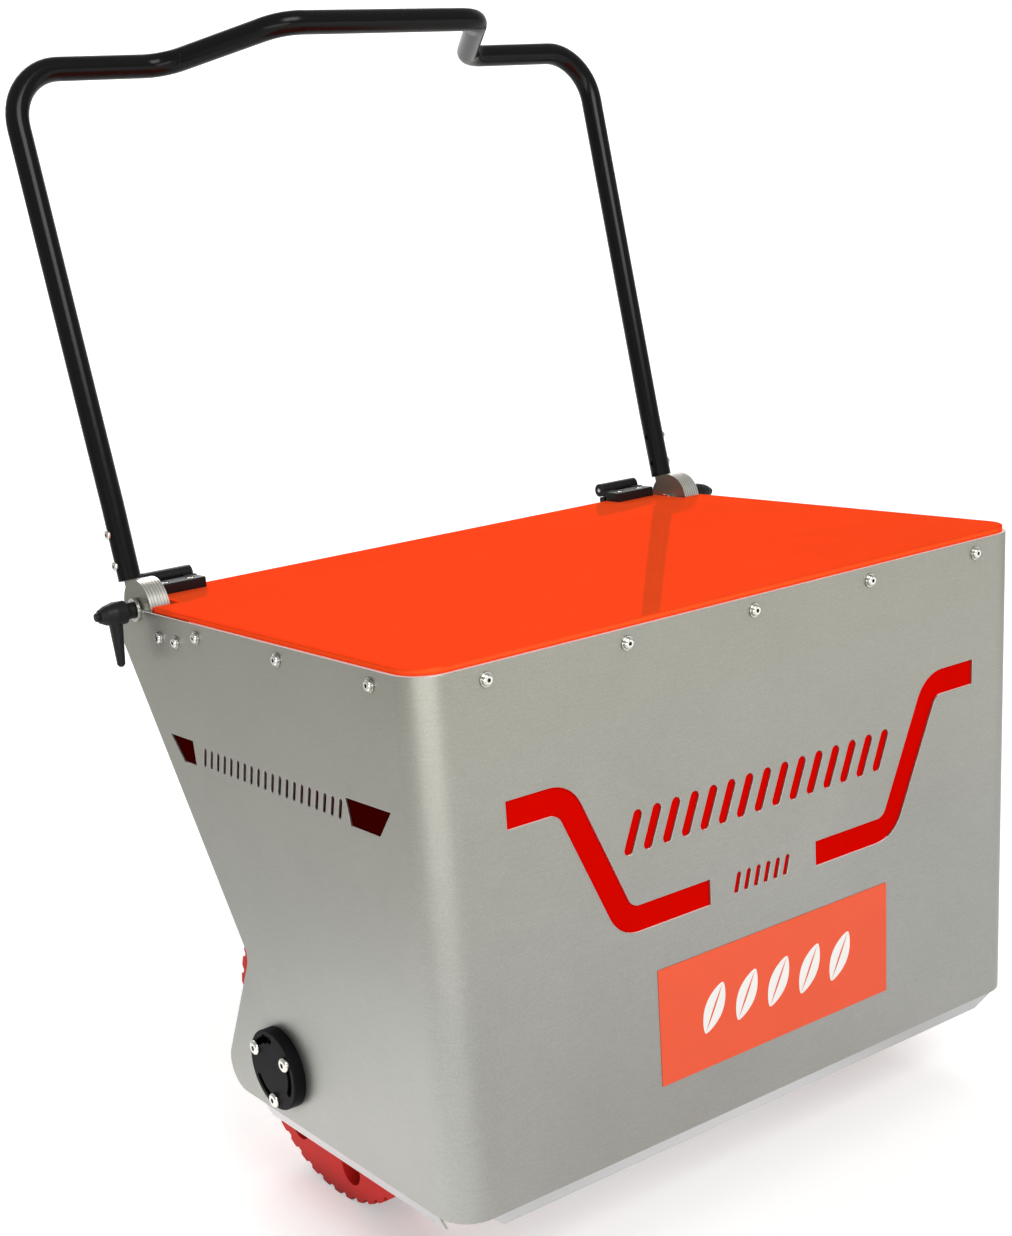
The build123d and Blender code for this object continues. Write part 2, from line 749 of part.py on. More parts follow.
bolt_seat_x = stack[3] - plate_t
bolt_end_x = 382.0
with BuildPart() as clamp_bolts:
    bolt_planes = [side_plane(s, bolt_seat_x, pivot_y, pivot_z) for s in (-1, 1)]
    with BuildSketch(*bolt_planes):
        RegularPolygon(6.5, 6, major_radius=False)
    extrude(amount=-5)
    with BuildSketch(*bolt_planes):
        Circle(clamp_bolt_r)
    extrude(amount=bolt_end_x - bolt_seat_x)
clamp_bolts.part.label = "clamp_bolts"
export_step(clamp_bolts.part, "parts/clamp_bolts.step")

with BuildPart() as pivot_washers:
    washer_steps = [half_width + k * (washer_t + 0.05) + 0.02 for k in (0, 1)]
    with BuildSketch(
        *[side_plane(s, x, pivot_y, pivot_z) for s in (-1, 1) for x in washer_steps]
    ):
        Circle(washer_r)
        Circle(clamp_bolt_r + 0.2, mode=Mode.SUBTRACT)
    extrude(amount=washer_t)
pivot_washers.part.label = "pivot_washers"
export_step(pivot_washers.part, "parts/pivot_washers.step")


# ---------------------------------------------------------------- clamp levers

hub_start = half_width + 2 * washer_t + 0.2
hub_end = 388.6
arm_out_x = 372.5
arm_drop = 46.5
hub_profile = ((0, 7.6), (6.5, 7.6), (9, 11.0), (20, 11.4), (29, 9.2), (hub_end - hub_start, 6.2))
with BuildPart() as left_clamp_lever:
    # hub, turned about the clamp bolt
    with BuildSketch(Plane.XY.offset(pivot_z)):
        with BuildLine():
            Polyline(
                (-hub_start, pivot_y),
                *[(-hub_start - along, pivot_y + radius) for along, radius in hub_profile],
                (-hub_end, pivot_y),
                close=True,
            )
        make_face()
    revolve(axis=Axis((0, pivot_y, pivot_z), (1, 0, 0)))
    # arm, hanging straight down and tapering to a rounded tip
    with BuildSketch(Plane.XY.offset(pivot_z)):
        with Locations((-arm_out_x, pivot_y)):
            SlotOverall(17, 13, rotation=90)
    with BuildSketch(Plane.XY.offset(pivot_z - arm_drop)):
        with Locations((-arm_out_x, pivot_y)):
            SlotOverall(9, 7.4, rotation=90)
    loft()
    with Locations((-arm_out_x, pivot_y, pivot_z - arm_drop - 0.4)):
        Sphere(4)
    # threaded bore for the bolt
    with BuildSketch(Plane.YZ.offset(-hub_start)):
        with Locations((pivot_y, pivot_z)):
            Circle(clamp_bolt_r + running_gap)
    extrude(amount=-(bolt_end_x - hub_start + 1), mode=Mode.SUBTRACT)
left_clamp_lever.part.label = "left_clamp_lever"
export_step(left_clamp_lever.part, "parts/left_clamp_lever.step")

with BuildPart() as left_lever_button:
    with Locations(side_plane(-1, hub_end + 0.02, pivot_y, pivot_z)):
        Cylinder(4.2, 4, align=(Align.CENTER, Align.CENTER, Align.MIN))
    fillet(left_lever_button.edges().group_by(Axis.X)[0], 1.2)
left_lever_button.part.label = "left_lever_button"
export_step(left_lever_button.part, "parts/left_lever_button.step")

for node, source in (
    ("right_clamp_lever", left_clamp_lever),
    ("right_lever_button", left_lever_button),
):
    with BuildPart() as right_lever:
        mirror(source.part, about=Plane.YZ)
    right_lever.part.label = node
    export_step(right_lever.part, f"parts/{node}.step")


# ---------------------------------------------------------------- handle tube


def arm_point(x, along, forward=0.0):
    y, z = on_arm(along, arm_back - forward)
    return (x, y, z)


with BuildPart() as handle_tube:
    with BuildLine() as handle_path:
        FilletPolyline(
            arm_point(-arm_x, arm_start),
            arm_point(-arm_x, arm_straight),
            arm_point(-arm_top_x, arm_end),
            arm_point(-crank_half, arm_end),
            arm_point(-grip_half, arm_end - grip_drop, grip_forward),
            arm_point(grip_half, arm_end - grip_drop, grip_forward),
            arm_point(crank_half, arm_end),
            arm_point(arm_top_x, arm_end),
            arm_point(arm_x, arm_straight),
            arm_point(arm_x, arm_start),
            radius=(arm_splay_r, arm_bend_r, *(grip_bend_r,) * 4, arm_bend_r, arm_splay_r),
        )
    with BuildSketch(Plane(origin=handle_path.line @ 0, z_dir=handle_path.line % 0)):
        Circle(tube_r)
        Circle(tube_r - tube_wall, mode=Mode.SUBTRACT)
    sweep()
    with Locations(
        *[
            side_plane(s, arm_x, *on_arm(arm_start + step, arm_back))
            for s in (-1, 1)
            for step in tube_screw_steps
        ]
    ):
        Cylinder(2.7, 40, mode=Mode.SUBTRACT)
handle_tube.part.label = "handle_tube"
export_step(handle_tube.part, "parts/handle_tube.step")

with BuildPart() as handle_screws:
    with Locations(
        *[
            side_plane(s, arm_x + tube_r + 0.02, *on_arm(arm_start + step, arm_back))
            for s in (-1, 1)
            for step in tube_screw_steps
        ]
    ):
        add(screw(2.5, 19, 4.6, 3.0))
handle_screws.part.label = "handle_screws"
export_step(handle_screws.part, "parts/handle_screws.step")


# ---------------------------------------------------------------- bearing discs

with BuildPart() as left_disc:
    with BuildSketch(Plane.YZ.offset(-half_width)):
        with Locations((axle_y, axle_z)):
            Circle(disc_r)
    extrude(amount=-disc_t)
    fillet(left_disc.edges().group_by(Axis.X)[0], 1.5)
    with BuildSketch(Plane.YZ.offset(-half_width - disc_t)):
        with Locations((axle_y, axle_z)):
            for start in disc_screw_angles:
                with BuildLine(mode=Mode.PRIVATE) as slot_centre:
                    CenterArc((0, 0), disc_screw_r, start, disc_slot_sweep)
                SlotArc(slot_centre.wire(), disc_slot_w)
        # one slot is wider near its end
        with Locations(polar((axle_y, axle_z), disc_screw_r, disc_wide_angle)):
            Circle(disc_wide_r)
    extrude(amount=disc_t, mode=Mode.SUBTRACT)
    with BuildSketch(Plane.YZ.offset(-half_width)):
        with Locations((axle_y, axle_z)):
            Circle(boss_r)
    extrude(amount=half_width - boss_in)
    with BuildSketch(Plane.YZ.offset(-boss_in)):
        with Locations((axle_y, axle_z)):
            Circle(bush_r + 0.02)
    extrude(amount=-(bore_end - boss_in), mode=Mode.SUBTRACT)
left_disc.part.label = "left_disc"
export_step(left_disc.part, "parts/left_disc.step")

with BuildPart() as left_bush:
    with BuildSketch(Plane.YZ.offset(-boss_in)):
        with Locations((axle_y, axle_z)):
            Circle(bush_r)
            Circle(axle_r + running_gap, mode=Mode.SUBTRACT)
    extrude(amount=-(bore_end - boss_in - 0.5))
left_bush.part.label = "left_bush"
export_step(left_bush.part, "parts/left_bush.step")

for node, source in (("right_disc", left_disc), ("right_bush", left_bush)):
    with BuildPart() as right_bearing:
        mirror(source.part, about=Plane.YZ)
    right_bearing.part.label = node
    export_step(right_bearing.part, f"parts/{node}.step")

with BuildPart() as disc_screws:
    with Locations(*[plane.offset(0.05) for plane in disc_screw_planes]):
        add(screw(3.0, 20, 7.0, 4.2))
disc_screws.part.label = "disc_screws"
export_step(disc_screws.part, "parts/disc_screws.step")

with BuildPart() as disc_nuts:
    with Locations(*[plane.offset(-disc_t - sheet) for plane in disc_screw_planes]):
        add(nut(3.0, 10, 5))
disc_nuts.part.label = "disc_nuts"
export_step(disc_nuts.part, "parts/disc_nuts.step")


# ---------------------------------------------------------------- wheels

rim_r = wheel_r - lug_h
pin_r = 2.0
wheel_pin_x = wheel_out - 2.2
roller_pin_x = roller_half - 2.2

with BuildPart() as left_wheel:
    with BuildSketch(Plane.YZ.offset(-wheel_out)):
        with Locations((axle_y, axle_z)):
            Circle(rim_r)
            with PolarLocations(wheel_hole_r, wheel_hole_count, start_angle=wheel_hole_start):
                SlotOverall(wheel_hole_l, wheel_hole_w, mode=Mode.SUBTRACT)
            Circle(axle_r + running_gap, mode=Mode.SUBTRACT)
    extrude(amount=wheel_out - wheel_in)
    # low lugs across the tread, each with a sloping front and a steep back
    with BuildSketch(Plane.YZ.offset(-wheel_out)):
        with Locations((axle_y, axle_z)):
            with PolarLocations(rim_r, lug_count, start_angle=-90):
                Polygon(
                    (-3, -lug_w / 2 - 0.5),
                    (0, -lug_w / 2),
                    (lug_h - 0.15, -lug_w / 2 + 3),
                    (lug_h, 0),
                    (lug_h - 0.15, lug_w / 2 - 1),
                    (0, lug_w / 2),
                    (-3, lug_w / 2),
                    align=None,
                )
    extrude(amount=wheel_out - wheel_in)
    # slot in the hub's outer face for the drive pin
    with Locations((-wheel_out, axle_y, axle_z)):
        Box(2 * (2.2 + pin_r + 0.1), 2 * pin_r + 0.2, 41, mode=Mode.SUBTRACT)
left_wheel.part.label = "left_wheel"
export_step(left_wheel.part, "parts/left_wheel.step")

with BuildPart() as right_wheel:
    mirror(left_wheel.part, about=Plane.YZ)
right_wheel.part.label = "right_wheel"
export_step(right_wheel.part, "parts/right_wheel.step")


# ---------------------------------------------------------------- axle and metering roller

pin_spots = [(s * x, axle_y, axle_z) for s in (-1, 1) for x in (wheel_pin_x, roller_pin_x)]

with BuildPart() as axle:
    with BuildSketch(Plane.YZ):
        with Locations((axle_y, axle_z)):
            Circle(axle_r)
    extrude(amount=half_width, both=True)
    chamfer(axle.edges().filter_by(GeomType.CIRCLE), 1)
    with Locations(*pin_spots):
        Cylinder(pin_r + 0.02, 30, mode=Mode.SUBTRACT)
axle.part.label = "axle"
export_step(axle.part, "parts/axle.step")

with BuildPart() as metering_roller:
    with BuildSketch(Plane.YZ):
        with Locations((axle_y, axle_z)):
            Circle(roller_r)
            Circle(axle_r + running_gap, mode=Mode.SUBTRACT)
            with PolarLocations(roller_r, flute_count):
                Circle(flute_r, mode=Mode.SUBTRACT)
    extrude(amount=roller_half, both=True)
    with Locations(*[(s * roller_half, axle_y, axle_z) for s in (-1, 1)]):
        Box(2 * (2.2 + pin_r + 0.1), 2 * pin_r + 0.2, 41, mode=Mode.SUBTRACT)
metering_roller.part.label = "metering_roller"
export_step(metering_roller.part, "parts/metering_roller.step")

with BuildPart() as axle_spacers:
    for start, end in ((wheel_out + 0.2, boss_in - 0.5), (roller_half + 0.3, wheel_in - 0.3)):
        for side in (-1, 1):
            with BuildSketch(Plane.YZ.offset(side * start)):
                with Locations((axle_y, axle_z)):
                    Circle(14)
                    Circle(axle_r + running_gap, mode=Mode.SUBTRACT)
            extrude(amount=side * (end - start))
axle_spacers.part.label = "axle_spacers"
export_step(axle_spacers.part, "parts/axle_spacers.step")

with BuildPart() as drive_pins:
    with Locations(*pin_spots):
        Cylinder(pin_r, 40)
drive_pins.part.label = "drive_pins"
export_step(drive_pins.part, "parts/drive_pins.step")
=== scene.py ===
"""Looks of the push seeder: materials for the CAD nodes, finer pieces, floor, light and camera."""

import math

import bmesh
import bpy
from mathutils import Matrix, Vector


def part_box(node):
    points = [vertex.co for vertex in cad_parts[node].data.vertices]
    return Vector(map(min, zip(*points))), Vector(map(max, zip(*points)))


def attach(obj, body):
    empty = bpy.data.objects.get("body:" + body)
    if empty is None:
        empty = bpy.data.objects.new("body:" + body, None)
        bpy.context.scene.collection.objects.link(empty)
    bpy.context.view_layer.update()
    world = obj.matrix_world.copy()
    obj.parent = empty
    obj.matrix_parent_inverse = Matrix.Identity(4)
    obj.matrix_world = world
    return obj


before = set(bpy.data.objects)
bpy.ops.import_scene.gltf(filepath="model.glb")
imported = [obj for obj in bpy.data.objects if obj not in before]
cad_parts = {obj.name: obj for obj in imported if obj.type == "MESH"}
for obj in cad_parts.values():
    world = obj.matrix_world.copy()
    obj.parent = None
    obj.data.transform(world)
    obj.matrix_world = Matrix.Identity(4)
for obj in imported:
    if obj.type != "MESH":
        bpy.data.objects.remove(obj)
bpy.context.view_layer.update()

# Places and sizes of the studio, in metres
BACKDROP_HALF_WIDTH = 14.0
BACKDROP_NEAR, BACKDROP_BEND, BACKDROP_RADIUS, BACKDROP_TOP = -8.0, 1.0, 3.0, 9.0
BACKDROP_TURN = math.radians(-34)
AIM = (0, 0, 0.4)
WORLD_LEVEL = 0.42
FLOOR_LEVEL = 0.38

CAMERA_PLACE = (-1.0740, -1.3657, 0.8779)
CAMERA_TURN = (72.117, 4.988, -34.586)
CAMERA_LENS, CAMERA_SENSOR = 52.27, 36
CAMERA_SHIFT = (0.0927, 0.1546)


# ---------------------------------------------------------------- material kit


class Shader:
    """A procedural material: object coordinates in, a Principled surface out."""

    def __init__(self, name):
        self.material = bpy.data.materials.new(name)
        self.material.use_nodes = True
        self.tree = self.material.node_tree
        self.surface = self.tree.nodes["Principled BSDF"]
        self.coords = self.node("ShaderNodeTexCoord").outputs["Object"]
        self.normal = None

    def node(self, kind, **settings):
        made = self.tree.nodes.new(kind)
        for key, value in settings.items():
            setattr(made, key, value)
        return made

    def put(self, socket, value):
        """Link a socket, or store a plain value."""
        if isinstance(value, bpy.types.NodeSocket):
            self.tree.links.new(value, socket)
        elif isinstance(value, (tuple, list)) and len(value) == 3 and socket.type == "RGBA":
            socket.default_value = (*value, 1)
        else:
            socket.default_value = value

    def set(self, **inputs):
        for key, value in inputs.items():
            self.put(self.surface.inputs[key.replace("_", " ")], value)

    def scaled(self, stretch):
        mapping = self.node("ShaderNodeMapping")
        self.put(mapping.inputs["Vector"], self.coords)
        mapping.inputs["Scale"].default_value = stretch
        return mapping.outputs["Vector"]

    def noise(self, scale, detail=4.0, roughness=0.55, stretch=(1, 1, 1), distortion=0.0):
        made = self.node("ShaderNodeTexNoise")
        self.put(made.inputs["Vector"], self.scaled(stretch))
        made.inputs["Scale"].default_value = scale
        made.inputs["Detail"].default_value = detail
        made.inputs["Roughness"].default_value = roughness
        made.inputs["Distortion"].default_value = distortion
        return made.outputs["Fac"]

    def ramp(self, factor, *stops):
        """Colours or greys at positions from 0 to 1."""
        made = self.node("ShaderNodeValToRGB")
        self.put(made.inputs["Fac"], factor)
        elements = made.color_ramp.elements
        while len(elements) < len(stops):
            elements.new(0.5)
        for element, (position, colour) in zip(elements, stops):
            element.position = position
            element.color = (colour,) * 3 + (1,) if isinstance(colour, (int, float)) else (*colour, 1)
        return made.outputs["Color"]

    def span(self, factor, low, high, start=0.0, end=1.0):
        """Map a factor from start..end to low..high."""
        made = self.node("ShaderNodeMapRange")
        self.put(made.inputs["Value"], factor)
        for key, value in (("From Min", start), ("From Max", end), ("To Min", low), ("To Max", high)):
            made.inputs[key].default_value = value
        return made.outputs["Result"]

    def mix(self, factor, first, second, blend="MIX"):
        made = self.node("ShaderNodeMix", data_type="RGBA", blend_type=blend)
        self.put(made.inputs["Factor"], factor)
        self.put(made.inputs[6], first)
        self.put(made.inputs[7], second)
        return made.outputs[2]

    def maths(self, operation, first, second):
        made = self.node("ShaderNodeMath", operation=operation)
        self.put(made.inputs[0], first)
        self.put(made.inputs[1], second)
        return made.outputs[0]

    def bump(self, height, strength, distance=0.001):
        made = self.node("ShaderNodeBump")
        made.inputs["Strength"].default_value = strength
        made.inputs["Distance"].default_value = distance
        self.put(made.inputs["Height"], height)
        if self.normal is not None:
            self.put(made.inputs["Normal"], self.normal)
        self.normal = made.outputs["Normal"]
        self.put(self.surface.inputs["Normal"], self.normal)

    def edges(self, radius):
        """Round the edges in the shading: 0 on faces, rising to 1 on edges sharper than a small radius."""
        bevel = self.node("ShaderNodeBevel", samples=4)
        bevel.inputs["Radius"].default_value = radius
        self.normal = bevel.outputs["Normal"]
        geometry = self.node("ShaderNodeNewGeometry")
        dot = self.node("ShaderNodeVectorMath", operation="DOT_PRODUCT")
        self.put(dot.inputs[0], bevel.outputs["Normal"])
        self.put(dot.inputs[1], geometry.outputs["Normal"])
        return self.span(dot.outputs["Value"], 1.0, 0.0, 0.80, 0.995)

    def creases(self, distance):
        """0 in the open, rising to 1 where surfaces meet closely; the mask for painted shade."""
        made = self.node("ShaderNodeAmbientOcclusion", samples=6)
        made.inputs["Distance"].default_value = distance
        return self.span(made.outputs["AO"], 1.0, 0.0, 0.35, 0.95)

    def pool(self, centre, full, gone, strength):
        """A soft round patch in the shared frame: strength inside one radius, nothing beyond another."""
        away = self.node("ShaderNodeVectorMath", operation="DISTANCE")
        self.put(away.inputs[0], self.node("ShaderNodeNewGeometry").outputs["Position"])
        away.inputs[1].default_value = centre
        return self.span(away.outputs["Value"], strength, 0.0, full, gone)

    def along(self, axis):
        """One coordinate of the piece, in metres."""
        split = self.node("ShaderNodeSeparateXYZ")
        self.put(split.inputs["Vector"], self.coords)
        return split.outputs[axis]

    def facing(self, axis):
        """How far the true face points along an axis, from -1 to 1."""
        split = self.node("ShaderNodeSeparateXYZ")
        self.put(split.inputs["Vector"], self.node("ShaderNodeNewGeometry").outputs["True Normal"])
        return split.outputs[axis]


def satin_sheet(name, base, dark=0.9, grain=0.10, warm=(0.98, 0.965, 0.895)):
    """Satin sheet metal: fine rolled grain, cloudy handling marks, worn edges, painted shade in creases,
    bright sheared top edges as a painted highlight, down-facing flanges lightened as a painted floor
    reflection and a warmer top as a painted reflection.
    """
    made = Shader(name)
    clouds = made.noise(5.0, 6.0, 0.62, distortion=0.4)
    fine = made.noise(900.0, 2.0, 0.7)
    rolled = made.noise(60.0, 5.0, 0.7, stretch=(1, 1, 14))
    tone = made.ramp(clouds, (0.3, tuple(c * dark for c in base)), (0.7, base))
    speckled = made.mix(0.22, tone, made.ramp(fine, (0.35, 0.25), (0.65, 0.95)), "SOFT_LIGHT")
    lined = made.mix(0.10, speckled, made.ramp(rolled, (0.4, 0.35), (0.6, 0.8)), "SOFT_LIGHT")
    # Painted reflection: the sheet is tinted warmer and a little darker towards the top.
    height = made.span(made.along("Z"), 0.0, 1.0, 0.25, 0.52)
    painted_warm_top = made.mix(height, lined, made.mix(1.0, lined, warm, "MULTIPLY"))
    edge = made.edges(0.0012)
    worn = made.mix(made.maths("MULTIPLY", edge, 0.5), painted_warm_top, (0.93, 0.93, 0.91))
    # Painted shade: the colour darkens towards near black where surfaces meet closely.
    shaded_and_reflected_tone = made.mix(made.maths("MULTIPLY", made.creases(0.012), 0.45), worn, (0.10, 0.10, 0.09))
    # Painted reflection: faces turned downwards are lightened as if they reflected the bright floor.
    floor_reflection_mask = made.span(made.facing("Z"), 1.0, 0.0, -0.35, -0.12)
    shaded_and_reflected_tone = made.mix(floor_reflection_mask, shaded_and_reflected_tone, (0.66, 0.665, 0.67))
    # Top-facing faces are the sheet's sheared edges; their near-white, non-metallic colour is a painted
    # highlight.
    top_edge_highlight = made.span(made.facing("Z"), 0.0, 1.0, 0.90, 0.95)
    made.set(Base_Color=made.mix(top_edge_highlight, shaded_and_reflected_tone, (0.97, 0.96, 0.93)))
    made.set(Metallic=made.span(top_edge_highlight, 0.92, 0.0))
    rough = made.maths("ADD", made.span(clouds, 0.34, 0.46), made.span(fine, -0.05, 0.05))
    made.set(Roughness=rough)
    made.bump(fine, grain, 0.0004)
    return made.material


def glossy_acrylic(name, base, edge_shade_colour, mirror=0.36, painted_emission=0.0):
    """Cast acrylic: tinted mirror gloss, faint wipe marks, a deeper colour inside the edge as painted shade,
    and a painted emission in its own colour.
    """
    made = Shader(name)
    marks = made.noise(9.0, 5.0, 0.7, distortion=1.2)
    dust = made.noise(420.0, 2.0, 0.6)
    tone = made.ramp(marks, (0.35, base), (0.75, tuple(c * 0.94 for c in base)))
    # Painted shade: bevelled edges take the deeper edge colour.
    edge = made.edges(0.004)
    made.set(Base_Color=made.mix(made.maths("MULTIPLY", edge, 0.6), tone, edge_shade_colour))
    made.set(Roughness=made.maths("ADD", made.span(marks, 0.015, 0.05), made.span(dust, 0.0, 0.02)))
    made.set(Metallic=mirror, Specular_IOR_Level=0.0, Specular_Tint=tuple(c * 0.9 for c in base))
    # Painted light: the acrylic emits its own colour though it is no lamp.
    made.set(Emission_Color=base, Emission_Strength=painted_emission)
    made.bump(made.noise(3.5, 2.0, 0.4), 0.05, 0.002)
    return made.material


def moulded(name, base, rough=0.45, grain=0.12, light=1.6, scale=1400.0, shine=0.5, shade=0.012):
    """Moulded plastic: fine spark-eroded grain, flow tone, lightly rubbed edges and recesses darkened as
    painted shade.
    """
    made = Shader(name)
    flow = made.noise(18.0, 4.0, 0.6)
    fine = made.noise(scale, 2.0, 0.6)
    tone = made.ramp(flow, (0.3, tuple(c * 0.88 for c in base)), (0.7, base))
    edge = made.edges(0.0012)
    rubbed = tuple(min(1.0, c * light + 0.01) for c in base)
    worn = made.mix(made.maths("MULTIPLY", edge, 0.7), tone, rubbed)
    # Painted shade: recesses darken towards near black.
    recess_shade = made.maths("MULTIPLY", made.creases(shade), 0.75)
    made.set(Base_Color=made.mix(recess_shade, worn, tuple(c * 0.08 for c in base)), Specular_IOR_Level=shine)
    broad = made.span(flow, rough - 0.05, rough + 0.05)
    made.set(Roughness=made.maths("ADD", broad, made.span(fine, -0.06, 0.06)))
    made.bump(fine, grain, 0.0003)
    return made.material


def gloss_coat(name, base):
    """Gloss powder coat: slight orange peel and fine scuffs."""
    made = Shader(name)
    peel = made.noise(260.0, 2.0, 0.5)
    scuffs = made.noise(38.0, 8.0, 0.75, stretch=(1, 1, 0.2), distortion=0.5)
    scuffed = made.ramp(scuffs, (0.62, 0.0), (0.74, 1.0))
    made.set(Base_Color=made.mix(made.maths("MULTIPLY", scuffed, 0.25), base, (0.09, 0.085, 0.08)))
    made.set(Roughness=made.maths("ADD", made.span(scuffed, 0.20, 0.34), made.span(peel, -0.03, 0.03)))
    made.set(Specular_IOR_Level=0.20)
    made.bump(peel, 0.12, 0.0003)
    return made.material


def plated(name, base, low=0.16, high=0.34, lines_strength=0.10, plies=0.0):
    """Bright zinc plate: tone drift, fine turned lines, duller spots, painted shade in creases and, with
    plies, plate joints along X and painted shade on the faces across X.
    """
    made = Shader(name)
    drift = made.noise(55.0, 5.0, 0.6)
    lines = made.noise(500.0, 3.0, 0.6, stretch=(6, 1, 1))
    warm = tuple(c * f for c, f in zip(base, (1.0, 0.96, 0.86)))
    tone = made.ramp(drift, (0.35, base), (0.7, warm))
    made.edges(0.0006)
    # Painted shade: creases darken towards near black.
    painted_shade_tone = made.mix(made.maths("MULTIPLY", made.creases(0.004), 0.85), tone, (0.03, 0.03, 0.028))
    if plies:
        ply = made.maths("PINGPONG", made.along("X"), plies)
        joint = made.span(ply, 0.75, 0.0, 0.0, plies * 0.35)
        # Painted shade: faces across X are darkened and made less metallic.
        x_face_shade = made.span(made.maths("ABSOLUTE", made.facing("X"), 0.0), 0.0, 1.0, 0.6, 0.95)
        rim = made.mix(joint, painted_shade_tone, (0.10, 0.10, 0.09))
        painted_shade_tone = made.mix(x_face_shade, rim, (0.27, 0.26, 0.21))
    made.set(Base_Color=painted_shade_tone, Metallic=made.span(x_face_shade, 1.0, 0.55) if plies else 1.0)
    made.set(Roughness=made.maths("ADD", made.span(drift, low, high), made.span(lines, -0.06, 0.06)))
    made.bump(lines, lines_strength, 0.0002)
    return made.material


def film(name, base):
    """Printed vinyl film: matt, with a fine emboss and slight fading."""
    made = Shader(name)
    fade = made.noise(14.0, 5.0, 0.6)
    fine = made.noise(1600.0, 2.0, 0.5)
    made.set(Base_Color=made.ramp(fade, (0.3, tuple(c * 0.95 for c in base)), (0.75, base)))
    made.set(Roughness=made.span(fine, 0.42, 0.6))
    made.bump(fine, 0.08, 0.0002)
    return made.material


sheet = satin_sheet("sheet_metal", (0.458, 0.458, 0.432))
inner_sheet = satin_sheet("inner_sheet_metal", (0.46, 0.455, 0.43), 0.85)
# Acrylics: the second colour is the painted edge shade; the lid's last argument is a painted emission.
acrylic = glossy_acrylic("lid_acrylic", (1.0, 0.088, 0.018), (0.85, 0.012, 0.0), 0.34, 0.15)
window_red = glossy_acrylic("window_red", (0.62, 0.002, 0.0), (0.4, 0.0, 0.0), 0.12)
# Painted shade: the side windows' red acrylic is painted near black, a shaded copy of the front window's
# red.
shaded_window_red = glossy_acrylic("side_window_red_shaded", (0.05, 0.0005, 0.0002), (0.1, 0.0, 0.0), 0.12)
wheel_red = moulded("wheel_plastic", (0.86, 0.030, 0.024), 0.42, 0.10, 1.1, shine=0.12, shade=0.03)
black_coat = gloss_coat("handle_coat", (0.004, 0.004, 0.004))
black_plastic = moulded("black_plastic", (0.011, 0.011, 0.012), 0.40, 0.25, 2.4, shine=0.22)
disc_plastic = moulded("disc_plastic", (0.008, 0.008, 0.009), 0.42, 0.2, 2.0, shine=0.05)
roller_white = moulded("roller_plastic", (0.70, 0.68, 0.60), 0.5, 0.1, 1.1)
rubber = moulded("lip_rubber", (0.03, 0.03, 0.03), 0.7, 0.3, 1.3)
zinc = plated("zinc_plate", (0.80, 0.81, 0.80))
stacked = plated("stacked_plates", (0.84, 0.84, 0.80), 0.26, 0.34, 0.0, 0.0016)
bright = plated("bright_screws", (0.86, 0.86, 0.84), 0.10, 0.22)
sign_film = film("sign_film", (0.84, 0.088, 0.024))
seed_white = film("seed_print", (0.88, 0.87, 0.84))

looks = {
    sheet: ("outer_shell",),
    inner_sheet: (
        "rim_strip", "rear_wall", "hopper_slope", "left_end_plate", "right_end_plate",
        "left_wheel_arch", "right_wheel_arch",
    ),
    acrylic: ("lid",),
    window_red: ("front_window",),
    shaded_window_red: ("left_window", "right_window"),
    wheel_red: ("left_wheel", "right_wheel"),
    black_coat: ("handle_tube",),
    black_plastic: (
        "left_hinge_leaf", "right_hinge_leaf", "left_hinge_base", "right_hinge_base",
        "left_clamp_lever", "right_clamp_lever", "left_lever_button", "right_lever_button",
    ),
    disc_plastic: ("left_disc", "right_disc"),
    roller_white: ("metering_roller", "left_bush", "right_bush"),
    rubber: ("front_lip", "rear_lip"),
    sign_film: ("sign_plate",),
    zinc: ("pivot_washers",),
    stacked: (
        "left_cheeks", "right_cheeks", "left_tongue", "right_tongue",
        "left_clamp_plate", "right_clamp_plate", "left_spacer_plate", "right_spacer_plate",
    ),
    bright: (
        "rim_screws", "rim_nuts", "bracket_screws", "bracket_nuts", "clamp_bolts", "handle_screws",
        "disc_screws", "disc_nuts", "hinge_pins", "hinge_leaf_screws", "hinge_leaf_nuts",
        "hinge_base_screws", "hinge_base_nuts", "axle", "axle_spacers", "drive_pins",
    ),
}
look_of = {node: material for material, nodes in looks.items() for node in nodes}

for name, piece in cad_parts.items():
    piece.data.materials.clear()
    piece.data.materials.append(look_of[name])


def add_object(name, mesh):
    made = bpy.data.objects.new(name, mesh)
    bpy.context.scene.collection.objects.link(made)
    return made


# ---------------------------------------------------------------- printed seeds on the sign


def leaf_half(side, half_long, half_wide, split, steps):
    """Outer and inner outline points (across, along) of one half of a seed, from tip to tip."""
    outer, inner = [], []
    for step in range(steps + 1):
        swell = math.sin(math.pi * step / steps)
        along = half_long * (1 - 2 * step / steps)
        outer.append((side * (split + (half_wide - split) * swell ** 0.8), along))
        inner.append((side * split * swell, along))
    return outer, inner


